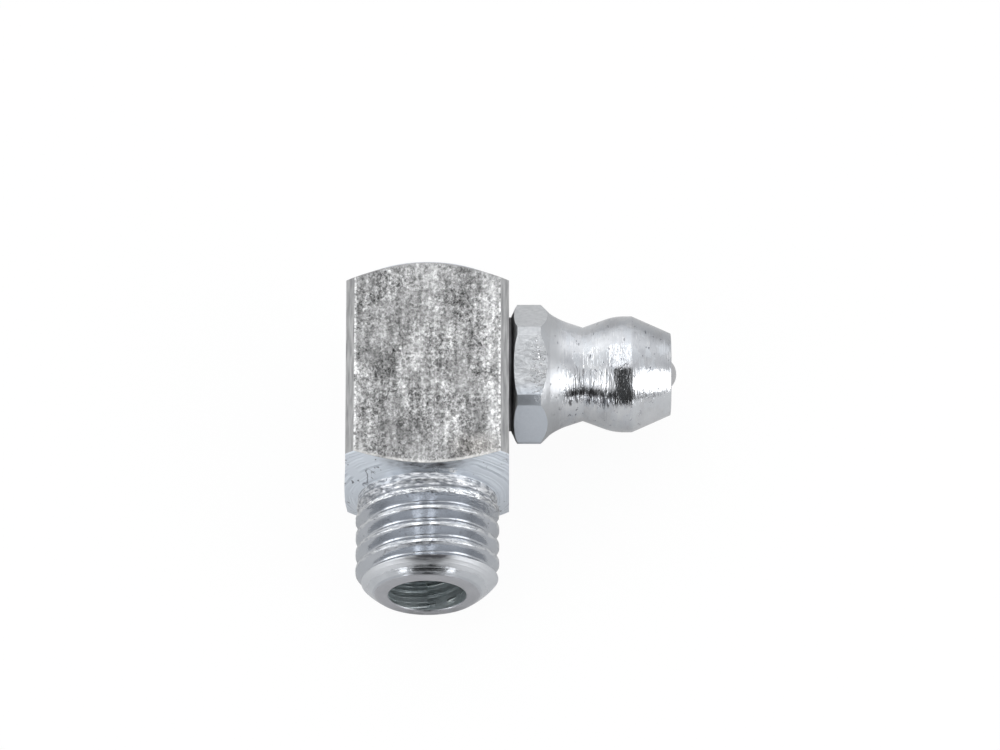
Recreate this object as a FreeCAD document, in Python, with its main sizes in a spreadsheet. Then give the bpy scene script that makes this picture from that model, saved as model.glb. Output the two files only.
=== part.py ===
import FreeCAD, Part
import math
import os
import Sketcher

# Right-angle grease nipple with an M8 x 1 stub and a ball valve in its head, in millimetres.
# The nipple lies on the back flat of its square bar. The origin is on the axis of the
# threaded stub, in the plane where the four flats end at the shoulder. X runs along the
# head towards its ball, Y from the stub's free end towards the top of the bar, and Z out
# of the flat that faces up.

SIZES = (
    ("bar_width", 9.0, "square bar, across its flats"),
    ("bar_corner_chamfer", 0.4, "chamfer along the four long edges of the bar"),
    ("flat_length", 12.08, "side flat, along its middle"),
    ("top_face_diameter", 8.5, "plane face in the middle of the turned top"),
    ("top_cone_angle", 30.0, "slope of the turned top, from its face"),
    ("shoulder_cone_angle", 25.0, "slope of the turned shoulder, from a face"),
    ("thread_diameter", 8.0, "outside of the M8 x 1 thread"),
    ("stub_length", 6.05, "stub, from the shoulder end of the flats"),
    ("stub_end_diameter", 5.65, "outside of the stub's end face"),
    ("stub_chamfer_angle", 45.0, "slope of the stub's end chamfer, from its axis"),
    ("bore_diameter", 4.3, "grease bore up the stub"),
    ("bore_stop", 0.15, "from the end of the full bore to the cross hole"),
    ("drill_point_angle", 118.0, "included angle of the drills"),
    ("head_height", 7.31, "axis of the head, above the shoulder end of the flats"),
    ("cross_hole_diameter", 6.0, "tapped hole that holds the head"),
    ("cross_hole_depth", 3.9, "tapped hole, from the flat"),
    ("cross_drill_diameter", 5.0, "tapping drill of the cross hole"),
    ("cross_drill_depth", 5.0, "tapping drill, from the flat to its shoulder"),
    ("shank_clearance", 0.02, "radial play of the shank in its hole"),
    ("shank_length", 3.4, "screwed shank of the head"),
    ("shank_chamfer", 0.4, "chamfer at the end of the shank"),
    ("seat_face_diameter", 6.5, "washer face under the hexagon"),
    ("seat_face_height", 0.2, "washer face, along the axis"),
    ("hex_across_flats", 7.0, "hexagon, across its flats"),
    ("hex_corner_diameter", 7.75, "turned corners of the hexagon"),
    ("hex_face_diameter", 6.7, "rear face of the hexagon"),
    ("hex_rear_chamfer", 0.27, "rear chamfer of the hexagon, along the axis"),
    ("hex_length", 1.76, "from the flat of the bar to the front chamfer"),
    ("hex_front_chamfer", 0.49, "front chamfer of the hexagon, at 45 degrees"),
    ("hex_sides", 6, "number of flats on the hexagon"),
    ("head_turn", -14.4, "turn at which the screwed head stops"),
    ("head_length", 9.0, "from the flat of the bar to the end of the head"),
    ("head_diameter", 6.45, "largest diameter of the coupling head"),
    ("head_land", 0.45, "cylindrical land of the coupling head"),
    ("head_curve_radius", 3.2, "curve behind the land"),
    ("head_cone_angle", 24.0, "slope of the nose, from the axis"),
    ("nose_rise", 0.03, "height of the crowned end of the nose"),
    ("nose_face_diameter", 4.0, "plane ring round the ball"),
    ("neck_diameter", 5.2, "narrowest part of the neck"),
    ("neck_place", 4.1, "narrowest part, from the flat of the bar"),
    ("neck_rear_angle", 18.0, "slope of the neck towards the hexagon"),
    ("neck_front_angle", 20.0, "slope of the neck towards the head"),
    ("neck_curve_radius", 3.7, "hollow curve between the hexagon and the neck"),
    ("neck_curve_end", 3.3, "end of the hollow curve, from the flat of the bar"),
    ("ball_diameter", 2.0, "valve ball"),
    ("ball_depth", 0.7, "centre of the ball, behind the end of the head"),
    ("ball_clearance", 0.05, "radial play of the ball in its chamber"),
    ("seat_clearance", 0.015, "play of the closed ball in its conical seat"),
    ("seat_angle", 45.0, "slope of the conical seat, from the axis"),
    ("chamber_depth", 6.0, "floor of the valve chamber, behind the end of the head"),
    ("passage_diameter", 1.3, "grease passage behind the chamber"),
    ("wire_diameter", 0.22, "wire of the valve spring"),
    ("spring_play", 0.08, "radial play of the spring in the chamber"),
    ("spring_end_gap", 0.01, "gap at each end of the spring"),
    ("spring_turns", 5, "open turns of the spring"),
    ("closed_turn_pitch", 0.25, "pitch of the closed turn at each end"),
)

# Cutting profiles reach this far past the surfaces that they leave.
CUT_MARGIN = 1.0
FULL_TURN = 360.0

# The fine wire of the spring has this many sides, with its corners on the round wire.
WIRE_SIDES = 8


def tangent(angle):
    """Gives the rule for the tangent of an angle of the sheet."""
    return f"tan(Sizes.{angle} * 1deg)"


# Bar and stub, in the bar's own directions.
HALF_BAR = "Sizes.bar_width / 2"
TOP_FACE_RADIUS = "Sizes.top_face_diameter / 2"
THREAD_RADIUS = "Sizes.thread_diameter / 2"
STUB_END_RADIUS = "Sizes.stub_end_diameter / 2"
BORE_RADIUS = "Sizes.bore_diameter / 2"
TOP_HEIGHT = f"Sizes.flat_length + ({HALF_BAR} - {TOP_FACE_RADIUS}) * {tangent('top_cone_angle')}"
BAR_REACH = "Sizes.bar_width * 0.75"
DRILL_SLOPE = "tan(Sizes.drill_point_angle / 2 * 1deg)"

# Head, along its own axis from the flat of the bar that it seats on.
HEAD_RADIUS = "Sizes.head_diameter / 2"
HEX_RADIUS = "Sizes.hex_corner_diameter / 2"
NECK_RADIUS = "Sizes.neck_diameter / 2"
SEAT_FACE_RADIUS = "Sizes.seat_face_diameter / 2"
SHANK_RADIUS = "(Sizes.cross_hole_diameter / 2 - Sizes.shank_clearance)"
HEX_FRONT = "Sizes.hex_length + Sizes.hex_front_chamfer"
CURVE_RISE = "Sizes.head_curve_radius * (1 - cos(Sizes.neck_front_angle * 1deg))"
CURVE_START = (
    f"(Sizes.neck_place + ({HEAD_RADIUS} - {NECK_RADIUS} - {CURVE_RISE})"
    f" / {tangent('neck_front_angle')})"
)
LAND_START = f"({CURVE_START} + Sizes.head_curve_radius * sin(Sizes.neck_front_angle * 1deg))"
LAND_END = f"({LAND_START} + Sizes.head_land)"
NOSE_EDGE = "(Sizes.head_length - Sizes.nose_rise)"

# Valve, along the axis of the head.
BALL_RADIUS = "Sizes.ball_diameter / 2"
BALL_CENTRE = "(Sizes.head_length - Sizes.ball_depth)"
CHAMBER_RADIUS = f"({BALL_RADIUS} + Sizes.ball_clearance)"
MOUTH_RADIUS = (
    f"(({BALL_RADIUS} + Sizes.seat_clearance - Sizes.ball_depth * sin(Sizes.seat_angle * 1deg))"
    " / cos(Sizes.seat_angle * 1deg))"
)
SEAT_START = f"(Sizes.head_length - ({CHAMBER_RADIUS} - {MOUTH_RADIUS}) / {tangent('seat_angle')})"
CHAMBER_FLOOR = "(Sizes.head_length - Sizes.chamber_depth)"
PASSAGE_RADIUS = "Sizes.passage_diameter / 2"
WIRE_RADIUS = "Sizes.wire_diameter / 2"
COIL_RADIUS = f"({CHAMBER_RADIUS} - Sizes.spring_play - {WIRE_RADIUS})"
SPRING_START = f"({CHAMBER_FLOOR} + Sizes.spring_end_gap + {WIRE_RADIUS})"
SPRING_END = (
    f"({BALL_CENTRE} - Sizes.spring_end_gap"
    f" - sqrt(pow({BALL_RADIUS} + {WIRE_RADIUS}; 2) - pow({COIL_RADIUS}; 2)))"
)
OPEN_COIL = f"({SPRING_END} - {SPRING_START} - 2 * Sizes.closed_turn_pitch)"


document = FreeCAD.newDocument("grease_nipple")


def make_sheet():
    """Writes the driving sizes in a sheet, one row each, with an alias on the number."""
    sheet = document.addObject("Spreadsheet::Sheet", "Sizes")
    for row, (alias, value, meaning) in enumerate(SIZES, start=1):
        sheet.set(f"A{row}", str(value))
        sheet.setAlias(f"A{row}", alias)
        sheet.set(f"B{row}", meaning)
    document.recompute()
    return sheet


def make_body(name):
    """Starts an empty body whose label names its node."""
    body = document.addObject("PartDesign::Body", name)
    body.Label = name
    return body


def origin_part(body, role):
    """Finds a plane or an axis of the body's own origin."""
    return next(part for part in body.Origin.OriginFeatures if part.Role == role)


def add_sketch(body, name, plane="XY_Plane"):
    """Adds a sketch on one of the body's own origin planes."""
    sketch = body.newObject("Sketcher::SketchObject", name)
    sketch.AttachmentSupport = [(origin_part(body, plane), "")]
    sketch.MapMode = "FlatFace"
    return sketch


def bind(sketch, kind, geometry, value_rule, name):
    """Adds one dimension to a sketch and binds it to its rule."""
    value = float(sketch.evalExpression(value_rule))
    index = sketch.addConstraint(Sketcher.Constraint(kind, *geometry, value))
    sketch.renameConstraint(index, name)
    sketch.setExpression(f"Constraints.{name}", value_rule)


def arc_between(start, end, radius, side):
    """Gives the short arc from start to end that bulges to the left, or the right at -1."""
    chord = end - start
    half = chord.Length / 2
    rise = radius - math.sqrt(radius**2 - half**2)
    across = FreeCAD.Vector(-chord.y, chord.x, 0).normalize()
    return Part.Arc(start, (start + end) / 2 + across * rise * side, end)


def draw_outline(sketch, corners, arcs=None):
    """Draws a closed outline through corners, each a name with its two rules.

    Sides are straight, except those that start at a corner named in arcs, which gives a
    rule for the radius and the side to which the arc bulges.
    """
    arcs = arcs or {}
    points = [
        FreeCAD.Vector(float(sketch.evalExpression(x)), float(sketch.evalExpression(y)), 0)
        for _, x, y in corners
    ]
    ends = []
    for number, (name, _, _) in enumerate(corners):
        start = points[number]
        end = points[(number + 1) % len(points)]
        if name in arcs:
            radius_rule, side = arcs[name]
            radius = float(sketch.evalExpression(radius_rule))
            side_index = sketch.addGeometry(arc_between(start, end, radius, side))
            bind(sketch, "Radius", (side_index,), radius_rule, f"{name}_radius")
        else:
            side_index = sketch.addGeometry(Part.LineSegment(start, end))
        first_is_start = sketch.getPoint(side_index, 1).distanceToPoint(start) < 1e-6
        ends.append((side_index, 1, 2) if first_is_start else (side_index, 2, 1))
    for number, (name, x_rule, y_rule) in enumerate(corners):
        before = ends[number - 1]
        after = ends[number]
        sketch.addConstraint(
            Sketcher.Constraint("Coincident", before[0], before[2], after[0], after[1])
        )
        bind(sketch, "DistanceX", (-1, 1, after[0], after[1]), x_rule, f"{name}_x")
        bind(sketch, "DistanceY", (-1, 1, after[0], after[1]), y_rule, f"{name}_y")


def revolve(body, kind, name, sketch, axis):
    """Turns a sketch once round one of its own axes, to add or to remove material."""
    feature = body.newObject(f"PartDesign::{kind}", name)
    feature.Profile = sketch
    feature.ReferenceAxis = (sketch, [axis])
    feature.Angle = FULL_TURN
    return feature


def make_elbow_body():
    """Square bar with a turned top, a turned shoulder and stub, and two crossing holes."""
    body = make_body("elbow_body")

    section = add_sketch(body, "bar_section", "XZ_Plane")
    section.setExpression("AttachmentOffset.Base.z", "Sizes.stub_length")
    draw_outline(section, [
        ("low_left", f"-{HALF_BAR}", f"-{HALF_BAR}"),
        ("low_right", HALF_BAR, f"-{HALF_BAR}"),
        ("high_right", HALF_BAR, HALF_BAR),
        ("high_left", f"-{HALF_BAR}", HALF_BAR),
    ])
    bar = body.newObject("PartDesign::Pad", "bar")
    bar.Profile = section
    bar.Reversed = True
    bar.setExpression("Length", f"Sizes.stub_length + {TOP_HEIGHT}")
    document.recompute()

    long_edges = [
        f"Edge{number}"
        for number, edge in enumerate(bar.Shape.Edges, start=1)
        if abs(edge.tangentAt(edge.FirstParameter).y) > 0.5
    ]
    corners = body.newObject("PartDesign::Chamfer", "bar_corners")
    corners.Base = (bar, long_edges)
    corners.setExpression("Size", "Sizes.bar_corner_chamfer")

    top = add_sketch(body, "top_profile")
    top_fall = f"({BAR_REACH} - {TOP_FACE_RADIUS}) * {tangent('top_cone_angle')}"
    draw_outline(top, [
        ("face_edge", TOP_FACE_RADIUS, TOP_HEIGHT),
        ("cone_foot", BAR_REACH, f"{TOP_HEIGHT} - {top_fall}"),
        ("outer", BAR_REACH, f"{TOP_HEIGHT} + {CUT_MARGIN}"),
        ("inner", TOP_FACE_RADIUS, f"{TOP_HEIGHT} + {CUT_MARGIN}"),
    ])
    revolve(body, "Groove", "turned_top", top, "V_Axis")

    stub = add_sketch(body, "stub_profile")
    chamfer_rise = f"({THREAD_RADIUS} - {STUB_END_RADIUS}) / {tangent('stub_chamfer_angle')}"
    root_fall = f"({HALF_BAR} - {THREAD_RADIUS}) * {tangent('shoulder_cone_angle')}"
    reach_rise = f"({BAR_REACH} - {HALF_BAR}) * {tangent('shoulder_cone_angle')}"
    below_end = f"-Sizes.stub_length - {CUT_MARGIN}"
    draw_outline(stub, [
        ("end_edge", STUB_END_RADIUS, "-Sizes.stub_length"),
        ("below_end", STUB_END_RADIUS, below_end),
        ("outer_low", BAR_REACH, below_end),
        ("outer_high", BAR_REACH, reach_rise),
        ("stub_root", THREAD_RADIUS, f"-{root_fall}"),
        ("chamfer_top", THREAD_RADIUS, f"{chamfer_rise} - Sizes.stub_length"),
    ])
    revolve(body, "Groove", "turned_stub", stub, "V_Axis")

    bore = add_sketch(body, "bore_profile")
    bore_top = "Sizes.head_height - Sizes.cross_hole_diameter / 2 - Sizes.bore_stop"
    draw_outline(bore, [
        ("below_mouth", "0", below_end),
        ("mouth", BORE_RADIUS, below_end),
        ("drill_shoulder", BORE_RADIUS, bore_top),
        ("drill_point", "0", f"{bore_top} + {BORE_RADIUS} / {DRILL_SLOPE}"),
    ])
    revolve(body, "Groove", "grease_bore", bore, "V_Axis")

    cross = add_sketch(body, "cross_profile")
    cross.setExpression("AttachmentOffset.Base.y", "Sizes.head_height")
    outside = f"{HALF_BAR} + {CUT_MARGIN}"
    tap_radius = "Sizes.cross_hole_diameter / 2"
    drill_radius = "Sizes.cross_drill_diameter / 2"
    tap_end = f"{HALF_BAR} - Sizes.cross_hole_depth"
    drill_end = f"{HALF_BAR} - Sizes.cross_drill_depth"
    draw_outline(cross, [
        ("outside_axis", outside, "0"),
        ("outside_wall", outside, tap_radius),
        ("tap_end", tap_end, tap_radius),
        ("tap_foot", tap_end, drill_radius),
        ("drill_shoulder", drill_end, drill_radius),
        ("drill_point", f"{drill_end} - {drill_radius} / {DRILL_SLOPE}", "0"),
    ])
    revolve(body, "Groove", "cross_hole", cross, "H_Axis")
    return body


def make_nipple_head():
    """Turned head with a hexagon, a waisted neck, a coned nose and a valve chamber."""
    body = make_body("nipple_head")

    outside = add_sketch(body, "head_profile")
    draw_outline(
        outside,
        [
            ("shank_end", "-Sizes.shank_length", "0"),
            ("shank_tip", "-Sizes.shank_length", f"{SHANK_RADIUS} - Sizes.shank_chamfer"),
            ("shank_wall", "Sizes.shank_chamfer - Sizes.shank_length", SHANK_RADIUS),
            ("seat_inner", "0", SHANK_RADIUS),
            ("seat_outer", "0", SEAT_FACE_RADIUS),
            ("hex_foot", "Sizes.seat_face_height", SEAT_FACE_RADIUS),
            ("hex_face", "Sizes.seat_face_height", "Sizes.hex_face_diameter / 2"),
            ("hex_rear", "Sizes.seat_face_height + Sizes.hex_rear_chamfer", HEX_RADIUS),
            ("hex_front", "Sizes.hex_length", HEX_RADIUS),
            ("hollow_start", HEX_FRONT, f"{HEX_RADIUS} - Sizes.hex_front_chamfer"),
            (
                "hollow_end",
                "Sizes.neck_curve_end",
                f"{NECK_RADIUS} + (Sizes.neck_place - Sizes.neck_curve_end)"
                f" * {tangent('neck_rear_angle')}",
            ),
            ("neck", "Sizes.neck_place", NECK_RADIUS),
            ("curve_start", CURVE_START, f"{HEAD_RADIUS} - {CURVE_RISE}"),
            ("land_start", LAND_START, HEAD_RADIUS),
            ("land_end", LAND_END, HEAD_RADIUS),
            (
                "nose_edge",
                NOSE_EDGE,
                f"{HEAD_RADIUS} - ({NOSE_EDGE} - {LAND_END}) * {tangent('head_cone_angle')}",
            ),
            ("nose_ring", "Sizes.head_length", "Sizes.nose_face_diameter / 2"),
            ("nose_centre", "Sizes.head_length", "0"),
        ],
        arcs={
            "hollow_start": ("Sizes.neck_curve_radius", -1),
            "curve_start": ("Sizes.head_curve_radius", 1),
        },
    )
    revolve(body, "Revolution", "turned_head", outside, "H_Axis")

    flat = add_sketch(body, "hex_flat_profile")
    flat_height = "Sizes.hex_across_flats / 2"
    above_corner = f"{HEX_RADIUS} + {CUT_MARGIN}"
    draw_outline(flat, [
        ("rear_low", "0", flat_height),
        ("front_low", HEX_FRONT, flat_height),
        ("front_high", HEX_FRONT, above_corner),
        ("rear_high", "0", above_corner),
    ])
    flat_cut = body.newObject("PartDesign::Pocket", "hex_flat")
    flat_cut.Profile = flat
    flat_cut.Type = "ThroughAll"
    flat_cut.SideType = "Symmetric"
    hexagon = body.newObject("PartDesign::PolarPattern", "hexagon")
    hexagon.Originals = [flat_cut]
    hexagon.Axis = (origin_part(body, "X_Axis"), [""])
    hexagon.Angle = FULL_TURN
    hexagon.setExpression("Occurrences", "Sizes.hex_sides")
    body.Tip = hexagon

    inside = add_sketch(body, "valve_profile")
    behind = f"-Sizes.shank_length - {CUT_MARGIN}"
    before = f"Sizes.head_length + {CUT_MARGIN}"
    draw_outline(inside, [
        ("passage_axis", behind, "0"),
        ("passage_wall", behind, PASSAGE_RADIUS),
        ("chamber_foot", CHAMBER_FLOOR, PASSAGE_RADIUS),
        ("chamber_floor", CHAMBER_FLOOR, CHAMBER_RADIUS),
        ("seat_start", SEAT_START, CHAMBER_RADIUS),
        ("seat_mouth", "Sizes.head_length", MOUTH_RADIUS),
        ("mouth_wall", before, MOUTH_RADIUS),
        ("mouth_axis", before, "0"),
    ])
    revolve(body, "Groove", "valve_chamber", inside, "H_Axis")
    return body


def make_check_ball():
    """Valve ball that the spring holds in the mouth of the head."""
    ball = document.addObject("Part::Sphere", "check_ball")
    ball.Label = "check_ball"
    ball.setExpression("Radius", BALL_RADIUS)
    return ball


def make_ball_spring():
    """Helical spring with a closed turn at each end and open turns between them."""
    body = make_body("ball_spring")
    stretches = (
        ("rear_turn", SPRING_START, "Sizes.closed_turn_pitch", "1"),
        ("open_turns", f"{SPRING_START} + Sizes.closed_turn_pitch", OPEN_COIL, "Sizes.spring_turns"),
        ("front_turn", f"{SPRING_END} - Sizes.closed_turn_pitch", "Sizes.closed_turn_pitch", "1"),
    )
    for name, start_rule, length_rule, turns_rule in stretches:
        section = add_sketch(body, f"{name}_section")
        draw_outline(section, [
            (
                f"corner_{number}",
                f"{start_rule} + {WIRE_RADIUS} * cos({number} * 360deg / {WIRE_SIDES})",
                f"{COIL_RADIUS} + {WIRE_RADIUS} * sin({number} * 360deg / {WIRE_SIDES})",
            )
            for number in range(WIRE_SIDES)
        ])
        coil = body.newObject("PartDesign::AdditiveHelix", name)
        coil.Profile = section
        coil.ReferenceAxis = (section, ["H_Axis"])
        coil.Mode = "height-turns-angle"
        coil.setExpression("Height", length_rule)
        coil.setExpression("Turns", turns_rule)
    return body


def seat_on_head_axis(part, distance_rule):
    """Puts a piece on the axis of the head, so far from the stub's axis."""
    part.setExpression(".Placement.Base.x", distance_rule)
    part.setExpression(".Placement.Base.y", "Sizes.head_height")


def check_document():
    """Stops with a message where an object has failed or a cut removed nothing."""
    for item in document.Objects:
        if any(state in ("Invalid", "Error") for state in item.State):
            raise RuntimeError(f"{item.Name} failed: {item.State}")
        if item.TypeId in ("PartDesign::Groove", "PartDesign::Pocket"):
            if item.Shape.Volume >= item.BaseFeature.Shape.Volume:
                raise RuntimeError(f"{item.Name} removes nothing")


def export(parts):
    """Checks each piece and writes it to the file that its label names."""
    os.makedirs("parts", exist_ok=True)
    for part in parts:
        if part.Shape.isNull() or not part.Shape.isValid():
            raise RuntimeError(f"{part.Label} has no valid shape")
        part.Shape.exportStep(f"parts/{part.Label}.step")
        print(part.Label, round(part.Shape.Volume, 3), "mm3", len(part.Shape.Solids), "solid")


make_sheet()
elbow_body = make_elbow_body()
nipple_head = make_nipple_head()
nipple_head.Placement = FreeCAD.Placement(
    FreeCAD.Vector(), FreeCAD.Rotation(FreeCAD.Vector(1, 0, 0), 1)
)
nipple_head.setExpression(".Placement.Rotation.Angle", "Sizes.head_turn * 1deg")
seat_on_head_axis(nipple_head, HALF_BAR)
check_ball = make_check_ball()
seat_on_head_axis(check_ball, f"{HALF_BAR} + {BALL_CENTRE}")
ball_spring = make_ball_spring()
seat_on_head_axis(ball_spring, HALF_BAR)
document.recompute()
check_document()
export((elbow_body, nipple_head, check_ball, ball_spring))
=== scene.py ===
import math

import bpy
from mathutils import Matrix, Vector, noise


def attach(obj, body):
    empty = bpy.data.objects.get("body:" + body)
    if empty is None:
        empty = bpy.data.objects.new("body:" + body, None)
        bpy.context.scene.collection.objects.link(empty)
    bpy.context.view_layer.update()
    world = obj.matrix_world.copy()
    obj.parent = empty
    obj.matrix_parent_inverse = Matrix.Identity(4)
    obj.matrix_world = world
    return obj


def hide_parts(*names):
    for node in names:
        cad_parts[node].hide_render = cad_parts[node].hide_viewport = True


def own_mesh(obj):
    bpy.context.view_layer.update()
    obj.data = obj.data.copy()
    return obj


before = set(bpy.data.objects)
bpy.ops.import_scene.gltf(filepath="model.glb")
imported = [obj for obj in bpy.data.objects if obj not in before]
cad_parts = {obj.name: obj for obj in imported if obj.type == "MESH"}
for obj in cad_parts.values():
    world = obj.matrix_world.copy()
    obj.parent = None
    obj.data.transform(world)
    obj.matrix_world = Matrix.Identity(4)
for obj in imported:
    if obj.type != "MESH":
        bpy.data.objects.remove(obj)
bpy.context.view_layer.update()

# Pieces are modelled in millimetres, in the directions of the frame: the stub's axis is Y,
# its free end points to -Y, the head points to +X, and the part lies on its flat at -Z.
# Each finished piece is then brought to metres.
MILLIMETRE = 0.001

# Square bar with its turned ends.
HALF_BAR = 4.5
STOCK_LENGTH = 20.0
STOCK_CENTRE = 5.0
CORNER_CHAMFER = 0.46
FLAT_LENGTH = 12.08
TOP_FACE_RADIUS = 4.25
TOP_SLOPE = math.tan(math.radians(30.0))
SHOULDER_SLOPE = math.tan(math.radians(25.0))
SHOULDER_ROOT_RADIUS = 3.2
SHOULDER_ROOT_DEPTH = 1.1
BAR_REACH = 6.75
TOP_HEIGHT = FLAT_LENGTH + (HALF_BAR - TOP_FACE_RADIUS) * TOP_SLOPE
EDGE_WEAR = 0.13
BURR_HEIGHT = 0.09
BURR_REACH = 0.45
BURR_HALF_WIDTH = 3.6
BURR_ROWS = 0.1
BURR_COLUMNS = 0.5

# M8 x 1 stub.
PITCH = 1.0
CREST_RADIUS = 3.97
THREAD_DEPTH = 0.56
ROOT_ROUNDING = 0.09
FLANK_SLOPE = 1.0 / math.tan(math.radians(30.0))
FIRST_CREST = 0.36
SCREW_START = 3.0
SCREW_TURNS = 11
OUTLINE_STEPS = 22
THREAD_TOP = 0.7
THREAD_FOOT = -6.8
RUNOUT_START = -0.2
RUNOUT_END = 1.7
STUB_LENGTH = 6.05
STUB_END_RADIUS = 2.825
CHAMFER_TOP_RADIUS = 4.14
CHAMFER_LENGTH = 1.4
CHAMFER_CURVE = 4.2
CHAMFER_OVERRUN = 0.33
RIM_OUTSIDE = 0.07
RIM_INSIDE = 0.23
RIM_HEIGHT = 0.11
RIM_CURVE = 0.42
LIMIT_RADIUS = 4.4
LIMIT_TOP = 1.5

# Worn crests of the thread: those near the shoulder are lower and torn.
TORN_FROM = 0.9
TORN_TO = 1.75
TORN_ABOVE = 0.4
TORN_BELOW = 0.16
CREST_BAND = 0.2
CREST_WEAR = 0.012
TEAR_SIZE = 0.03
LOWERED = 0.1
LOWERED_TO = 1.05
LOWERED_BLEND = 0.5

# Grease bore and the tapped cross hole that holds the head.
BORE_RADIUS = 2.15
BORE_TOP = 4.16
BORE_RIM_WIDTH = 0.05
BORE_RIM_DEPTH = 0.06
BORE_CUT_START = -7.0
BORE_CUT_FLARE = 1.0
DRILL_SLOPE = math.tan(math.radians(59.0))
HEAD_HEIGHT = 7.31
CROSS_RADIUS = 3.0
CROSS_DEPTH = 3.9
CROSS_DRILL_RADIUS = 2.5
CROSS_DRILL_DEPTH = 5.0
CROSS_OVERRUN = 1.0

# Head, by its distance from the bar's flat.
HEAD_TURN = math.radians(-14.4)
HEAD_LENGTH = 9.0
HEAD_RADIUS = 3.225
SHANK_RADIUS = 2.98
SHANK_LENGTH = 3.4
SHANK_CHAMFER = 0.4
WASHER_RADIUS = 3.17
HEX_HALF_FLAT = 3.5
HEX_CORNER_RADIUS = 3.875
HEX_FACE = 0.13
HEX_REAR_CURVE = ((0.0, 3.22), (0.12, 3.46), (0.21, 3.68), (0.33, HEX_CORNER_RADIUS))
HEX_LENGTH = 1.76
HEX_FRONT_CHAMFER = 0.49
HEX_FRONT = HEX_LENGTH + HEX_FRONT_CHAMFER
HOLLOW_END = 3.3
HOLLOW_RADIUS = 3.7
NECK_RADIUS = 2.6
NECK_PLACE = 4.1
NECK_FRONT_ANGLE = math.radians(20.0)
NECK_REAR_SLOPE = math.tan(math.radians(18.0))
HEAD_CURVE_RADIUS = 3.2
LAND_LENGTH = 0.45
LAND_ROUNDING = 0.03
NOSE_SLOPE = math.tan(math.radians(24.0))
NOSE_ROUNDING = 0.03
NOSE_FACE_RADIUS = 2.0
HEAD_EDGE_WEAR = 0.05
CHAMBER_RADIUS = 1.05
CHAMBER_FLOOR = 3.0
PASSAGE_RADIUS = 0.65
MOUTH_RADIUS = 0.7354

# Valve.
BALL_RADIUS = 1.0
BALL_CENTRE = 8.3
BALL_DIVISIONS = 5
WIRE_RADIUS = 0.11
WIRE_SIDES = 12
COIL_RADIUS = 0.86
COIL_STEPS = 40
CLOSED_TURN = 0.25
SPRING_TURNS = 5
SPRING_START = 3.12
SPRING_END = 7.5842

# Steps of one full turn.
TURNING_STEPS = 160
HOLE_STEPS = 96
HEAD_STEPS = 192
THREAD_STEPS = 144

# Finishes of the body and of the head, in the order of their materials.
FLAT, CORNER, TURNED, THREAD, CHAMFER, END, BORE, WORN_HIGHLIT = range(8)
HEAD, HEXAGON, INSIDE, GAP = range(4)


# Tools for modelling.

def activate(piece):
    """Makes one piece the only selected one."""
    bpy.ops.object.select_all(action="DESELECT")
    piece.select_set(True)
    bpy.context.view_layer.objects.active = piece


def newest(name):
    """The piece that was just added, with its name."""
    piece = bpy.context.object
    piece.name = piece.data.name = name
    return piece


def edit(piece, mode="VERT", action="SELECT"):
    """Opens a piece in edit mode with all of it selected, or nothing."""
    activate(piece)
    bpy.ops.object.mode_set(mode="EDIT")
    bpy.ops.mesh.select_mode(type=mode)
    bpy.ops.mesh.select_all(action=action)


def leave():
    """Goes back to object mode."""
    bpy.ops.object.mode_set(mode="OBJECT")


def pick(piece, mode, chosen):
    """Opens a piece in edit mode with its chosen edges or faces selected."""
    edit(piece, mode, "DESELECT")
    leave()
    for element in piece.data.edges if mode == "EDGE" else piece.data.polygons:
        element.select = chosen(element)
    bpy.ops.object.mode_set(mode="EDIT")


def select_open_edges(merge):
    """Merges doubles in edit mode and selects what is left open."""
    bpy.ops.mesh.select_all(action="SELECT")
    bpy.ops.mesh.remove_doubles(threshold=merge)
    bpy.ops.mesh.select_all(action="DESELECT")
    bpy.ops.mesh.select_non_manifold()


def apply_modifier(piece, kind, **settings):
    """Adds one modifier to a piece and applies it."""
    activate(piece)
    modifier = piece.modifiers.new(kind.lower(), kind)
    for name, value in settings.items():
        setattr(modifier, name, value)
    bpy.ops.object.modifier_apply(modifier=modifier.name)


def combine(piece, tool, operation):
    """Cuts, joins or intersects a piece with a tool, which is used up."""
    apply_modifier(piece, "BOOLEAN", object=tool, operation=operation, solver="EXACT")
    bpy.data.objects.remove(tool)


def wear_edges(piece, width, angle):
    """Rounds the edges that are sharper than an angle in degrees."""
    apply_modifier(
        piece, "BEVEL", width=width, segments=2, limit_method="ANGLE",
        angle_limit=math.radians(angle), use_clamp_overlap=True,
    )


def close_shape(piece, merge=1e-5):
    """Merges doubles and turns all faces outwards."""
    edit(piece)
    bpy.ops.mesh.remove_doubles(threshold=merge)
    bpy.ops.mesh.dissolve_degenerate(threshold=1e-6)
    bpy.ops.mesh.normals_make_consistent(inside=False)
    leave()


def profile(name, points):
    """Chain of edges, from one vertex that is extruded from point to point."""
    bpy.ops.object.select_all(action="DESELECT")
    bpy.ops.mesh.primitive_plane_add(size=1.0)
    piece = newest(name)
    edit(piece)
    bpy.ops.mesh.merge(type="CENTER")
    bpy.ops.transform.translate(value=points[0])
    for start, end in zip(points, points[1:]):
        step = Vector(end) - Vector(start)
        bpy.ops.mesh.extrude_vertices_move(TRANSFORM_OT_translate={"value": step})
    leave()
    return piece


def turned(name, points, axis, steps):
    """Solid of revolution: the profile, from axis to axis, is spun once."""
    piece = profile(name, points)
    edit(piece)
    bpy.ops.mesh.spin(steps=steps, angle=math.tau, center=(0, 0, 0), axis=axis)
    leave()
    close_shape(piece)
    return piece


def round_stub(name, points):
    """Turns (radius, height) points round the stub's axis."""
    places = [(radius, height, 0) for radius, height in points]
    return turned(name, places, (0, 1, 0), TURNING_STEPS)


def round_head(name, points, steps):
    """Turns (distance, radius) points round the head's axis."""
    places = [(place, radius, 0) for place, radius in points]
    return turned(name, places, (1, 0, 0), steps)


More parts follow.
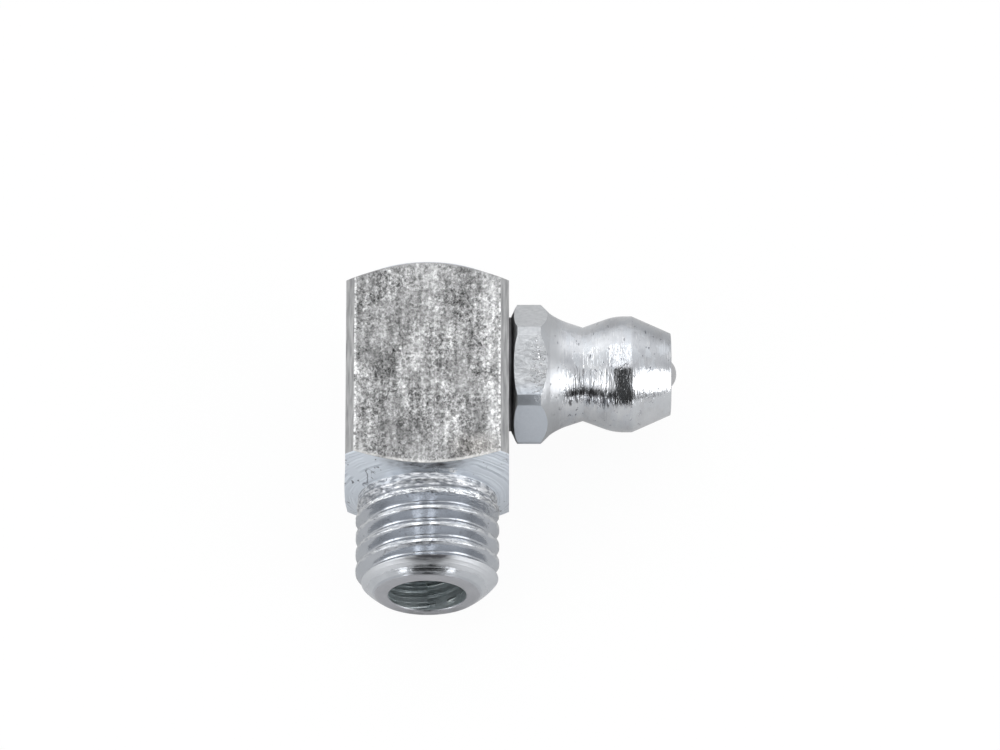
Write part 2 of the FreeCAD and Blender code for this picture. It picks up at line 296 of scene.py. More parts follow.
def arc_points(start, end, radius, side, count):
    """Points along the short arc from start to end, both left out; side 1 bulges left."""
    start, end = Vector(start), Vector(end)
    chord = end - start
    across = Vector((-chord.y, chord.x)).normalized() * side
    centre = (start + end) / 2 - across * math.sqrt(radius**2 - (chord.length / 2) ** 2)
    first = start - centre
    last = end - centre
    sweep = first.angle(last)
    turn = -1 if first.cross(last) < 0 else 1
    points = []
    for number in range(1, count):
        angle = turn * sweep * number / count
        points.append(tuple(centre + Matrix.Rotation(angle, 2) @ first))
    return points


def held(value):
    """Number held between 0 and 1."""
    return min(1.0, max(0.0, value))


def finish_shape(piece, body, node, smooth_angle=32.0):
    """Brings a piece to metres, smooths it, and seats it on the frame in a node's place."""
    piece.scale = (MILLIMETRE,) * 3
    activate(piece)
    bpy.ops.object.transform_apply(location=True, rotation=True, scale=True)
    bpy.ops.object.shade_smooth_by_angle(angle=math.radians(smooth_angle))
    apply_modifier(piece, "WEIGHTED_NORMAL", keep_sharp=True)
    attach(piece, body)
    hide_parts(node)


def give_finishes(piece, finishes, number_of):
    """Gives a piece its finishes, with the number of each face's own."""
    piece.data.materials.clear()
    for finish in finishes:
        piece.data.materials.append(finish)
    for face in piece.data.polygons:
        face.material_index = number_of(face)


# Body.

def square_bar():
    """Square bar with chamfered long edges and a slight burr at the shoulder, on its -X side."""
    bpy.ops.object.select_all(action="DESELECT")
    bpy.ops.mesh.primitive_cube_add(size=1.0, location=(0, STOCK_CENTRE, 0))
    bar = newest("bar")
    bar.scale = (2 * HALF_BAR, STOCK_LENGTH, 2 * HALF_BAR)
    bpy.ops.object.transform_apply(location=True, rotation=True, scale=True)

    def is_long(edge):
        first, second = (bar.data.vertices[number].co for number in edge.vertices)
        return abs(first.y - second.y) > 1.0

    pick(bar, "EDGE", is_long)
    bpy.ops.mesh.bevel(offset=CORNER_CHAMFER, segments=1, affect="EDGES")
    leave()

    rows = [((0, BURR_ROWS * number, 0), (0, 1, 0)) for number in range(-1, 12)]
    columns = [((0, 0, BURR_COLUMNS * number), (0, 0, 1)) for number in range(-7, 8)]
    for spot, normal in rows + columns:
        pick(bar, "FACE", lambda face: abs(face.normal.x) > 0.9)
        bpy.ops.mesh.bisect(plane_co=spot, plane_no=normal, threshold=1e-5)
        leave()
    for vertex in bar.data.vertices:
        spot = vertex.co
        if spot.x < 1e-4 - HALF_BAR:
            rise = math.exp(-((max(spot.y, 0.0) / BURR_REACH) ** 2))
            rise *= max(0.0, 1 - (spot.z / BURR_HALF_WIDTH) ** 2)
            spot.x -= BURR_HEIGHT * rise
    return bar


def turned_blank():
    """Turned outline of the bar's coned top and coned shoulder."""
    return round_stub("turned_blank", [
        (0, TOP_HEIGHT),
        (TOP_FACE_RADIUS, TOP_HEIGHT),
        (BAR_REACH, TOP_HEIGHT - (BAR_REACH - TOP_FACE_RADIUS) * TOP_SLOPE),
        (BAR_REACH, (BAR_REACH - HALF_BAR) * SHOULDER_SLOPE),
        (SHOULDER_ROOT_RADIUS, (SHOULDER_ROOT_RADIUS - HALF_BAR) * SHOULDER_SLOPE),
        (SHOULDER_ROOT_RADIUS, -SHOULDER_ROOT_DEPTH),
        (0, -SHOULDER_ROOT_DEPTH),
    ])


def groove_depth(distance):
    """Depth of the thread's groove at a distance from its middle, with a rounded root."""
    fall = math.sqrt(distance**2 + ROOT_ROUNDING**2) - ROOT_ROUNDING
    return max(0.0, THREAD_DEPTH - fall * FLANK_SLOPE)


def full_thread():
    """Even thread: one pitch of its outline, carried round by a screw."""
    points = []
    for number in range(OUTLINE_STEPS + 1):
        along = number / OUTLINE_STEPS
        radius = CREST_RADIUS - groove_depth(abs(along - 0.5) * PITCH)
        points.append((0, SCREW_START - along * PITCH, radius))
    thread = profile("thread", points)
    apply_modifier(
        thread, "SCREW", axis="Y", angle=-math.tau, screw_offset=-PITCH, iterations=SCREW_TURNS,
        steps=THREAD_STEPS, render_steps=THREAD_STEPS, use_merge_vertices=True,
        merge_threshold=1e-4, use_normal_calculate=True,
    )
    close_shape(thread, 1e-3)
    return thread


def wear_thread(thread):
    """Lets the groove run out at the shoulder, and lowers and tears the crests there."""
    for vertex in thread.data.vertices:
        spot = vertex.co
        spot.y -= FIRST_CREST
        radius = math.hypot(spot.x, spot.z)
        depth = -spot.y
        share = held((depth - RUNOUT_START) / (RUNOUT_END - RUNOUT_START))
        share = share * share * (3 - 2 * share)
        worn = min(CREST_RADIUS, radius + THREAD_DEPTH * (1 - share))
        rough = noise.noise(Vector((spot.x * 3, spot.y * 6, spot.z * 3)))
        fine = noise.noise(Vector((spot.x * 9, spot.y * 13, spot.z * 9)) + Vector((7, 3, 1)))
        torn = TORN_ABOVE if depth < TORN_FROM else 1.0 if depth < TORN_TO else TORN_BELOW
        high = max(0.0, 1 - (CREST_RADIUS - worn) / CREST_BAND)
        worn -= LOWERED * held((LOWERED_TO - depth) / LOWERED_BLEND) * high
        worn += high * (torn * (TEAR_SIZE * rough + TEAR_SIZE * fine) - CREST_WEAR)
        spot.x *= worn / radius
        spot.z *= worn / radius


def cut_thread():
    """Worn thread of the stub, with flat closed ends and its curved end chamfer."""
    thread = full_thread()
    wear_thread(thread)
    for height, above in ((THREAD_TOP, True), (THREAD_FOOT, False)):
        edit(thread)
        bpy.ops.mesh.bisect(
            plane_co=(0, height, 0), plane_no=(0, 1, 0), threshold=1e-4,
            clear_outer=above, clear_inner=not above,
        )
        select_open_edges(1e-3)
        bpy.ops.mesh.fill_holes(sides=0)
        leave()
    close_shape(thread)

    chamfer_start = (CHAMFER_TOP_RADIUS, CHAMFER_LENGTH - STUB_LENGTH)
    chamfer_end = (STUB_END_RADIUS + RIM_OUTSIDE, RIM_HEIGHT - STUB_LENGTH)
    face_edge = (STUB_END_RADIUS - RIM_INSIDE, -STUB_LENGTH)
    limit = round_stub("stub_limit", [
        (0, LIMIT_TOP),
        (LIMIT_RADIUS, LIMIT_TOP),
        (LIMIT_RADIUS, CHAMFER_LENGTH + CHAMFER_OVERRUN - STUB_LENGTH),
        chamfer_start,
        *arc_points(chamfer_start, chamfer_end, CHAMFER_CURVE, 1, 12),
        chamfer_end,
        *arc_points(chamfer_end, face_edge, RIM_CURVE, 1, 6),
        face_edge,
        (0, -STUB_LENGTH),
    ])
    combine(thread, limit, "INTERSECT")
    return thread


def cross_hole():
    """Hole across the bar for the head's shank, drilled on to the bore."""
    drill_end = HALF_BAR - CROSS_DRILL_DEPTH
    hole = round_head("cross_hole", [
        (HALF_BAR + CROSS_OVERRUN, 0),
        (HALF_BAR + CROSS_OVERRUN, CROSS_RADIUS),
        (HALF_BAR - CROSS_DEPTH, CROSS_RADIUS),
        (HALF_BAR - CROSS_DEPTH, CROSS_DRILL_RADIUS),
        (drill_end, CROSS_DRILL_RADIUS),
        (drill_end - CROSS_DRILL_RADIUS / DRILL_SLOPE, 0),
    ], HOLE_STEPS)
    edit(hole)
    bpy.ops.transform.translate(value=(0, HEAD_HEIGHT, 0))
    leave()
    return hole


def make_body():
    """Bar with its turned ends, threaded stub, grease bore and cross hole."""
    body = square_bar()
    combine(body, turned_blank(), "INTERSECT")
    wear_edges(body, EDGE_WEAR, 30.0)
    combine(body, cut_thread(), "UNION")
    bore = round_stub("bore", [
        (0, BORE_CUT_START),
        (BORE_RADIUS + BORE_CUT_FLARE, BORE_CUT_START),
        (BORE_RADIUS + BORE_RIM_WIDTH, -STUB_LENGTH),
        (BORE_RADIUS, BORE_RIM_DEPTH - STUB_LENGTH),
        (BORE_RADIUS, BORE_TOP),
        (0, BORE_TOP + BORE_RADIUS / DRILL_SLOPE),
    ])
    combine(body, bore, "DIFFERENCE")
    combine(body, cross_hole(), "DIFFERENCE")
    body.name = body.data.name = "fitting_body"
    give_finishes(body, [
        drawn_finish(), corner_finish(), turned_finish(), thread_finish(),
        chamfer_finish(), end_finish(), bore_finish(), worn_edge_highlight_finish(),
    ], body_finish_number)
    finish_shape(body, "fitting", "elbow_body")


def body_finish_number(face):
    """Number of the finish that a face of the body takes, from its place and direction."""
    spot, normal = face.center, face.normal
    radius = math.hypot(spot.x, spot.z)
    outward = (normal.x * spot.x + normal.z * spot.z) / max(radius, 1e-6)
    from_cross = math.hypot(spot.y - HEAD_HEIGHT, spot.z)
    if from_cross < CROSS_RADIUS + 0.02 and -3 < spot.x < HALF_BAR - 0.01:
        return BORE
    if radius < BORE_RADIUS + 0.02 and spot.y < 6 and (outward < -0.2 or spot.y > BORE_TOP):
        return BORE
    if spot.y < -0.15 and radius < CREST_RADIUS + 0.05:
        if normal.y < -0.9 and spot.y < -5.9:
            return END
        from_line = (radius - STUB_END_RADIUS) - (spot.y + STUB_LENGTH)
        if from_line > -0.02 and -0.93 < normal.y < -0.38 and spot.y < -4.6:
            return CHAMFER
        if spot.y < 0.1 - STUB_LENGTH:
            return END
        if normal.y < -0.85 and outward < 0.45 and spot.y > -0.5:
            return TURNED
        return THREAD
    if max(abs(normal.x), abs(normal.z)) > 0.97:
        return FLAT
    reach = max(abs(spot.x), abs(spot.z))
    if reach > HALF_BAR - 0.85 * EDGE_WEAR and abs(normal.y) < 0.8:
        return WORN_HIGHLIT if spot.y < 2 else CORNER
    if abs(abs(normal.x) - abs(normal.z)) < 0.15 and abs(normal.y) < 0.2:
        return CORNER
    return TURNED


# Head and valve.

def head_outline():
    """Outline of the head along its axis, from the shank's bore round to the chamber."""
    curve_rise = HEAD_CURVE_RADIUS * (1 - math.cos(NECK_FRONT_ANGLE))
    slope = math.tan(NECK_FRONT_ANGLE)
    curve_start = NECK_PLACE + (HEAD_RADIUS - NECK_RADIUS - curve_rise) / slope
    land_start = curve_start + HEAD_CURVE_RADIUS * math.sin(NECK_FRONT_ANGLE)
    land_end = land_start + LAND_LENGTH
    nose_edge = HEAD_LENGTH - NOSE_ROUNDING
    hollow_start = (HEX_FRONT, HEX_CORNER_RADIUS - HEX_FRONT_CHAMFER)
    hollow_end = (HOLLOW_END, NECK_RADIUS + (NECK_PLACE - HOLLOW_END) * NECK_REAR_SLOPE)
    belly_start = (curve_start, HEAD_RADIUS - curve_rise)
    belly_end = (land_start, HEAD_RADIUS)
    seat_start = HEAD_LENGTH - (CHAMBER_RADIUS - MOUTH_RADIUS)
    return [
        (-SHANK_LENGTH, PASSAGE_RADIUS),
        (-SHANK_LENGTH, SHANK_RADIUS - SHANK_CHAMFER),
        (SHANK_CHAMFER - SHANK_LENGTH, SHANK_RADIUS),
        (0, SHANK_RADIUS),
        (0, WASHER_RADIUS),
        (HEX_FACE, WASHER_RADIUS),
        *[(HEX_FACE + place, radius) for place, radius in HEX_REAR_CURVE],
        (HEX_LENGTH, HEX_CORNER_RADIUS),
        hollow_start,
        *arc_points(hollow_start, hollow_end, HOLLOW_RADIUS, -1, 10),
        hollow_end,
        (NECK_PLACE, NECK_RADIUS),
        belly_start,
        *arc_points(belly_start, belly_end, HEAD_CURVE_RADIUS, 1, 12),
        belly_end,
        (land_end - LAND_ROUNDING, HEAD_RADIUS),
        (land_end + LAND_ROUNDING, HEAD_RADIUS - 0.02),
        (nose_edge, HEAD_RADIUS - (nose_edge - land_end) * NOSE_SLOPE),
        (HEAD_LENGTH, NOSE_FACE_RADIUS),
        (HEAD_LENGTH, MOUTH_RADIUS),
        (seat_start, CHAMBER_RADIUS),
        (CHAMBER_FLOOR, CHAMBER_RADIUS),
        (CHAMBER_FLOOR, PASSAGE_RADIUS),
        (-SHANK_LENGTH, PASSAGE_RADIUS),
    ]


def is_hexagon(face):
    """Tells whether a face belongs to the collar that the six flats are cut from."""
    return 0.1 < face.center.x < HEX_FRONT - 0.001 and face.center.yz.length > 3.2


def make_head():
    """Head with its hexagon, turned outline and valve chamber."""
    head = round_head("nipple_head_turned", head_outline(), HEAD_STEPS)
    for number in range(6):
        angle = math.tau * number / 6
        normal = Vector((0, math.cos(angle), math.sin(angle)))
        pick(head, "FACE", is_hexagon)
        bpy.ops.mesh.bisect(
            plane_co=normal * HEX_HALF_FLAT, plane_no=normal, use_fill=True,
            clear_outer=True, threshold=1e-6,
        )
        leave()
    close_shape(head)
    wear_edges(head, HEAD_EDGE_WEAR, 22.0)
    head.data.transform(
        Matrix.Translation((HALF_BAR, HEAD_HEIGHT, 0)) @ Matrix.Rotation(HEAD_TURN, 4, "X")
    )
    give_finishes(
        head, [head_finish(), hexagon_finish(), bore_finish(), gap_shade_finish()], head_finish_number,
    )
    finish_shape(head, "fitting", "nipple_head")


def head_finish_number(face):
    """Number of the finish that a face of the head takes, from its place and direction."""
    spot, normal = face.center, face.normal
    radius = math.hypot(spot.y - HEAD_HEIGHT, spot.z)
    place = spot.x - HALF_BAR
    around = abs(normal.x) < 0.25 and 0.1 < place < 2.4
    behind = -0.01 < place < HEX_FACE + 0.36 and normal.x < 0.3 and radius < 3.86
    if behind and not (around and place > HEX_FACE + 0.05):
        return GAP
    if around and radius > 3.3:
        return HEXAGON
    if place < 0.01 or radius < CHAMBER_RADIUS + 0.02:
        return INSIDE
    return HEAD


def make_ball():
    """Valve ball, lapped smooth, from a cube that is divided and cast to a sphere."""
    bpy.ops.object.select_all(action="DESELECT")
    bpy.ops.mesh.primitive_cube_add(size=2 * BALL_RADIUS)
    ball = newest("valve_ball_polished")
    apply_modifier(
        ball, "SUBSURF", subdivision_type="SIMPLE", levels=BALL_DIVISIONS,
        render_levels=BALL_DIVISIONS,
    )
    apply_modifier(
        ball, "CAST", cast_type="SPHERE", factor=1.0, size=BALL_RADIUS, use_radius_as_size=False,
    )
    ball.data.transform(Matrix.Translation((HALF_BAR + BALL_CENTRE, HEAD_HEIGHT, 0)))
    ball.data.materials.append(ball_finish())
    finish_shape(ball, "valve_ball", "check_ball", 60.0)


def make_spring():
    """Valve spring: a round wire carried along its closed and open turns."""
    stretches = (
        (SPRING_START, CLOSED_TURN, 1),
        (SPRING_START + CLOSED_TURN, SPRING_END - SPRING_START - 2 * CLOSED_TURN, SPRING_TURNS),
        (SPRING_END - CLOSED_TURN, CLOSED_TURN, 1),
    )
    coils = []
    for start, length, turns in stretches:
        bpy.ops.object.select_all(action="DESELECT")
        bpy.ops.mesh.primitive_circle_add(vertices=WIRE_SIDES, radius=WIRE_RADIUS)
        coil = newest("coil")
        coil.data.transform(Matrix.Translation((start, COIL_RADIUS, 0)))
        apply_modifier(
            coil, "SCREW", axis="X", angle=math.tau, screw_offset=length / turns, iterations=turns,
            steps=COIL_STEPS, render_steps=COIL_STEPS, use_merge_vertices=False,
        )
        coils.append(coil)
    spring = coils[0]
    activate(spring)
    for coil in coils[1:]:
        coil.select_set(True)
    bpy.ops.object.join()
    edit(spring)
    select_open_edges(1e-4)
    bpy.ops.mesh.fill()
    leave()
    close_shape(spring)
    spring.data.transform(Matrix.Translation((HALF_BAR, HEAD_HEIGHT, 0)))
    spring.name = spring.data.name = "valve_spring_wire"
    spring.data.materials.append(spring_finish())
    finish_shape(spring, "fitting", "ball_spring", 60.0)
    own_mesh(spring)


# Finishes.

class Nodes:
    """Node tree, with a short call for each kind of node that the finishes and room need."""

    def __init__(self, tree, easing="LINEAR"):
        self.nodes = tree.nodes
        self.links = tree.links
        self.easing = easing

    def fill(self, node, socket, value):
        """Feeds a node's input with another node's output, or with a value or colour."""
        entry = node.inputs[socket]
        if isinstance(value, bpy.types.NodeSocket):
            self.links.new(value, entry)
        elif entry.type == "RGBA":
            entry.default_value = (*value, 1.0)
        else:
            entry.default_value = value

    def add(self, kind, inputs, **settings):
        """New node with its settings, and its inputs by their names or numbers."""
        node = self.nodes.new("ShaderNode" + kind)
        for name, value in settings.items():
            setattr(node, name, value)
        for socket, value in inputs.items():
            self.fill(node, socket, value)
        return node

    def math(self, operation, *values, **settings):
        return self.add("Math", dict(enumerate(values)), operation=operation, **settings).outputs[0]

    def product(self, first, *others):
        for other in others:
            first = self.math("MULTIPLY", first, other)
        return first

    def total(self, first, *others):
        for other in others:
            first = self.math("ADD", first, other)
        return first

    def vector(self, operation, *values):
        """Works on vectors; a length or a dot product comes out as a number."""
        node = self.add("VectorMath", dict(enumerate(values)), operation=operation)
        return node.outputs["Value" if operation in ("LENGTH", "DOT_PRODUCT") else "Vector"]

    def split(self, vector):
        return self.add("SeparateXYZ", {0: vector}).outputs

    def span(self, value, low, high, to_low=0.0, to_high=1.0):
        """Maps a range of values to another, with both ends held."""
        return self.add("MapRange", {
            "Value": value, "From Min": low, "From Max": high, "To Min": to_low, "To Max": to_high,
        }, interpolation_type=self.easing).outputs[0]

    def blend(self, share, first, second):
        """Blends two colours: the first where the share is 0, the second where it is 1."""
        return self.add("Mix", {0: share, 6: first, 7: second}, data_type="RGBA").outputs[2]


class Finish(Nodes):
    """One metal finish, with its patterns laid out in millimetres on the object."""

    def __init__(self, name, tone, roughness, metallic=1.0):
        self.material = bpy.data.materials.new(name)
        self.material.use_nodes = True
        super().__init__(self.material.node_tree)
        self.shader = self.nodes["Principled BSDF"]
        self.set("Metallic", metallic)
        self.set("Base Color", tone)
        self.set("Roughness", roughness)
        coordinates = self.add("TexCoord", {}).outputs["Object"]
        self.place = self.scaled(coordinates, (1000, 1000, 1000))

    def set(self, socket, value):
        self.fill(self.shader, socket, value)

    def scaled(self, vector, scale, location=(0, 0, 0)):
        inputs = {"Vector": vector, "Scale": scale, "Location": location}
        return self.add("Mapping", inputs).outputs["Vector"]

    def noise(self, scale, detail=2.0, stretch=(1, 1, 1), roughness=0.55, away=0.0, warp=0.0):
        """Cloudy pattern, with warp above 0 drawn out to fine curls."""
        return self.add("TexNoise", {
            "Vector": self.scaled(self.place, stretch, (away, away, away)), "Distortion": warp,
            "Scale": scale, "Detail": detail, "Roughness": roughness,
        }).outputs["Fac"]

    def lines(self, place, scale, detail):
        """Uneven lines across a distance, as a tool leaves them."""
        inputs = {"W": place, "Scale": scale, "Detail": detail}
        return self.add("TexNoise", inputs, noise_dimensions="1D").outputs["Fac"]

    def centred(self, pattern):
        """Pattern that lies as much under 0 as above it."""
        return self.math("SUBTRACT", pattern, 0.5)

    def from_axis(self, keep, centre=(0, 0, 0)):
        """Distance from an axis; keep is 1 for the two directions across it."""
        shifted = self.vector("SUBTRACT", self.place, centre)
        return self.vector("LENGTH", self.vector("MULTIPLY", shifted, keep))

    def spot_of(self, centre, radii, change):
        """Soft spot of a given size round a place, for example a dull patch."""
        shifted = self.vector("SUBTRACT", self.place, centre)
        distance = self.vector("LENGTH", self.vector("DIVIDE", shifted, radii))
        return self.span(distance, 0.25, 1.15, change, 0.0)

    def bump(self, *heights, rounding=0.04):
        """Stacks bumps, each a height and its size in millimetres, on a softened edge."""
        edge = self.add("Bevel", {"Radius": rounding * MILLIMETRE}, samples=6)
        normal = edge.outputs["Normal"]
        for height, size in heights:
            inputs = {"Distance": size * MILLIMETRE, "Height": height, "Normal": normal}
            normal = self.add("Bump", inputs).outputs["Normal"]
        self.set("Normal", normal)


def drawn_finish():
    """Cold-drawn flat under zinc: fine grains, drawn streaks, broad dull patches, and painted light
    and shade along its edges.
    """
    finish = Finish("drawn_flat_zinc", (0.6, 0.6, 0.6), 0.42)
    grain = finish.noise(7.6, stretch=(1.0, 0.8, 1.0), roughness=0.6, away=1.0, warp=0.7)
    clump = finish.noise(3.2, away=11.0)
    streak = finish.noise(1.0, 3.0, stretch=(3.4, 0.3, 3.4), away=3.0)
    patch = finish.noise(0.5, away=5.0)
    calm = finish.noise(0.75, away=23.0)
    x, y, z = finish.split(finish.place)
    light = finish.product(finish.centred(grain), finish.span(calm, 0.38, 0.62, 0.6, 1.15))
    for pattern, strength in ((clump, 0.5), (streak, 0.42), (patch, 0.42)):
        light = finish.math("MULTIPLY_ADD", pattern, strength, light)
    light = finish.total(light, -0.095)
    for centre, radii, change in (
        ((-2.1, 6.1, 4.5), (1.1, 1.5, 9), -0.13),
        ((1.75, 9.4, 4.5), (0.9, 1.1, 9), -0.12),
        ((-1.2, 1.7, 4.5), (2.4, 1.4, 9), -0.06),
        ((3.45, 8.6, 4.5), (0.6, 4.0, 9), 0.14),
        ((3.72, 2.6, 4.5), (0.5, 2.4, 9), 0.19),
        ((0.3, 7.7, 4.5), (1.7, 2.9, 9), 0.05),
        ((1.05, 2.4, 4.5), (0.14, 2.9, 9), 0.13),
        ((1.6, 2.2, 4.5), (0.17, 2.1, 9), 0.15),
        ((0.4, 10.6, 4.5), (0.8, 1.4, 9), 0.09),
    ):
        light = finish.total(light, finish.spot_of(centre, radii, change))
    # Painted highlight: brighter dots along the flats' long edges, for light caught by their
    # rounding.
    across = finish.math("MINIMUM", finish.math("ABSOLUTE", x), finish.math("ABSOLUTE", z))
    edge_highlight_dots = finish.span(finish.noise(5.0, 1.0, away=9.0), 0.42, 0.54, 0.0, 0.24)
    light = finish.math("MULTIPLY_ADD", finish.span(across, 3.88, 3.96), edge_highlight_dots, light)
    tone = finish.product(finish.math("POWER", finish.math("MAXIMUM", light, 0.05), 2.2), 0.86)
    warm = finish.spot_of((2.6, 1.0, 4.5), (1.5, 0.9, 9), 0.5)
    tint = finish.blend(warm, (1.0, 1.0, 1.0), (1.0, 0.94, 0.87))
    colour = finish.blend(tone, (0, 0, 0), tint)
    # Pale worn rim along the flats' lower edge, which is also a painted highlight of the rounded
    # edge, broken up by noise.
    reach = finish.math("SUBTRACT", finish.from_axis((1, 0, 1)), HALF_BAR)
    from_shoulder = finish.math("MULTIPLY_ADD", reach, -SHOULDER_SLOPE, y)
    from_top = finish.math("MULTIPLY_ADD", reach, TOP_SLOPE, y)
    from_top = finish.math("SUBTRACT", FLAT_LENGTH, from_top)
    wear_and_highlight = finish.span(finish.noise(1.6, 3.0, away=27.0), 0.35, 0.6, 0.3, 0.75)
    lower = finish.product(finish.span(from_shoulder, 0.1, 0.19, 1.0, 0.0), wear_and_highlight)
    colour = finish.blend(lower, colour, (0.58, 0.57, 0.555))
    # Painted dark reflection: a darker rim along the flats' top edge.
    top_rim_shade = finish.span(from_top, 0.03, 0.1, 0.7, 0.0)
    finish.set("Base Color", finish.blend(top_rim_shade, colour, (0.3, 0.3, 0.3)))
    finish.set("Roughness", finish.span(grain, 0.3, 0.7, 0.46, 0.34))
    finish.bump((grain, 0.008), (streak, 0.006))
    return finish.material


def corner_finish():
    """Chamfered long edges of the bar, smooth and evenly grey."""
    finish = Finish("corner_band_zinc", (0.5, 0.5, 0.5), 0.42)
    streak = finish.noise(1.0, 3.0, stretch=(6.0, 0.7, 6.0))
    shown = finish.span(streak, 0.35, 0.65)
    finish.set("Base Color", finish.blend(shown, (0.33, 0.33, 0.335), (0.54, 0.54, 0.54)))
    finish.bump((streak, 0.01))
    return finish.material


def worn_edge_highlight_finish():
    """Lower edge of the flats, worn, dull and painted pale as a highlight of its rounding."""
    finish = Finish("worn_edge_highlight_zinc", (0.8, 0.79, 0.76), 0.6, 0.3)
    wear_and_highlight = finish.noise(2.2, 3.0)
    shown = finish.span(wear_and_highlight, 0.35, 0.65)
    finish.set("Base Color", finish.blend(shown, (0.5, 0.495, 0.485), (0.8, 0.79, 0.77)))
    finish.bump((wear_and_highlight, 0.01))
    return finish.material


def turned_finish():
    """Turned cones under zinc: fine rings, a milky blue tint, pits, a few fine cracks and painted
    shade under the flats.
    """
    finish = Finish("turned_zinc", (0.6, 0.62, 0.66), 0.36)
    x, y, z = finish.split(finish.place)
    radius = finish.from_axis((1, 0, 1))
    radius = finish.math("MULTIPLY_ADD", finish.noise(1.4, away=1.0), 0.15, radius)
    shown = finish.span(finish.noise(0.7, away=13.0), 0.38, 0.56)
    rings = finish.product(finish.centred(finish.lines(radius, 7.0, 4.0)), shown)
    cloud = finish.noise(0.8, 3.0)
    colour = finish.blend(finish.span(rings, -0.2, 0.2), (0.46, 0.50, 0.56), (0.87, 0.925, 0.99))
    colour = finish.blend(finish.span(cloud, 0.35, 0.7, 0.0, 0.5), colour, (0.68, 0.72, 0.77))

    # Painted shade on the shoulder just under the middle of the +Z and -Z flats, broken by streaks.
    below = finish.span(y, 1.0, 0.6)
    side = finish.product(
        finish.span(finish.math("ABSOLUTE", z), 3.7, 4.25),
        finish.span(finish.math("ABSOLUTE", x), 0.8, 2.9, 1.0, 0.0),
    )
    streak = finish.noise(1.0, 3.0, stretch=(2.0, 8.0, 5.0), away=49.0)
    shade = finish.product(side, finish.span(streak, 0.35, 0.6, 1.0, 0.45), below)
    colour = finish.blend(shade, colour, (0.11, 0.11, 0.115))
    scratch = finish.noise(1.0, 3.0, stretch=(1.6, 9.0, 3.4), away=43.0)
    scratch = finish.product(scratch, finish.spot_of((1.35, -0.3, 3.85), (1.5, 0.6, 0.5), 1.0))
    colour = finish.blend(finish.span(scratch, 0.4, 0.5, 0.0, 0.8), colour, (0.98, 0.98, 0.98))

    pit = finish.span(finish.noise(2.6, away=2.0), 0.69, 0.73)
    line = finish.centred(finish.noise(0.9, 4.0, away=17.0, roughness=0.65))
    crack = finish.product(
        finish.span(finish.math("ABSOLUTE", line), 0.006, 0.016, 1.0, 0.0),
        finish.span(finish.noise(0.8, 1.0, away=21.0), 0.6, 0.66),
    )
    mark = finish.math("MAXIMUM", pit, finish.product(crack, 0.7))
    waver = finish.math("MULTIPLY_ADD", finish.noise(1.3, 3.0, away=31.0), 1.0, -0.5)
    seam = finish.math("ABSOLUTE", finish.total(waver, finish.total(x, 3.35)))
    height = finish.product(finish.span(z, 1.7, 2.0), finish.span(z, 3.2, 3.5, 1.0, 0.0))
    seam = finish.product(finish.product(finish.span(seam, 0.02, 0.06, 0.7, 0.0), height), below)
    mark = finish.math("MAXIMUM", mark, seam)
    finish.set("Base Color", finish.blend(mark, colour, (0.12, 0.125, 0.14)))
    finish.set("Roughness", finish.span(cloud, 0.3, 0.7, 0.3, 0.42))
    finish.bump((rings, 0.025), (scratch, 0.06), (finish.product(mark, -1.0), 0.03))
    return finish.material


def thread_finish():
    """Thread under zinc: smooth blue-grey grooves, brighter crests, torn near the shoulder."""
    finish = Finish("thread_zinc", (0.5, 0.52, 0.56), 0.24)
    y = finish.split(finish.place)[1]
    crest = finish.span(finish.from_axis((1, 0, 1)), CREST_RADIUS - 0.1, CREST_RADIUS - 0.01)
    torn = finish.product(finish.span(y, -1.75, -1.5), finish.span(y, -0.9, -0.6, 1.0, 0.5))
    runout = finish.span(y, -1.12, -0.9)
    cloud = finish.noise(1.1, 3.0)
    drag = finish.noise(1.0, 3.0, stretch=(2.4, 8.0, 2.4), away=4.0)
    nick = finish.span(finish.noise(2.6, away=6.0), 0.68, 0.72)
    dragged = finish.span(drag, 0.42, 0.58)
    streaked = finish.blend(dragged, (0.3, 0.315, 0.34), (0.74, 0.75, 0.77))
    groove = finish.blend(cloud, (0.43, 0.45, 0.485), (0.53, 0.55, 0.58))
    groove = finish.blend(runout, groove, streaked)
    top = finish.blend(finish.span(drag, 0.4, 0.6), (0.36, 0.375, 0.4), (0.88, 0.89, 0.9))
    top = finish.blend(runout, top, streaked)
    colour = finish.blend(finish.product(crest, finish.span(torn, 0, 1, 0.45, 1)), groove, top)
    finish.set("Base Color", finish.blend(nick, colour, (0.3, 0.31, 0.34)))
    smooth = finish.span(cloud, 0.3, 0.7, 0.14, 0.23)
    finish.set("Roughness", finish.math("MULTIPLY_ADD", runout, 0.22, smooth))
    lift = finish.product(drag, finish.math("MAXIMUM", torn, 0.08))
    finish.bump((lift, 0.13), (cloud, 0.01), rounding=0.09)
    return finish.material


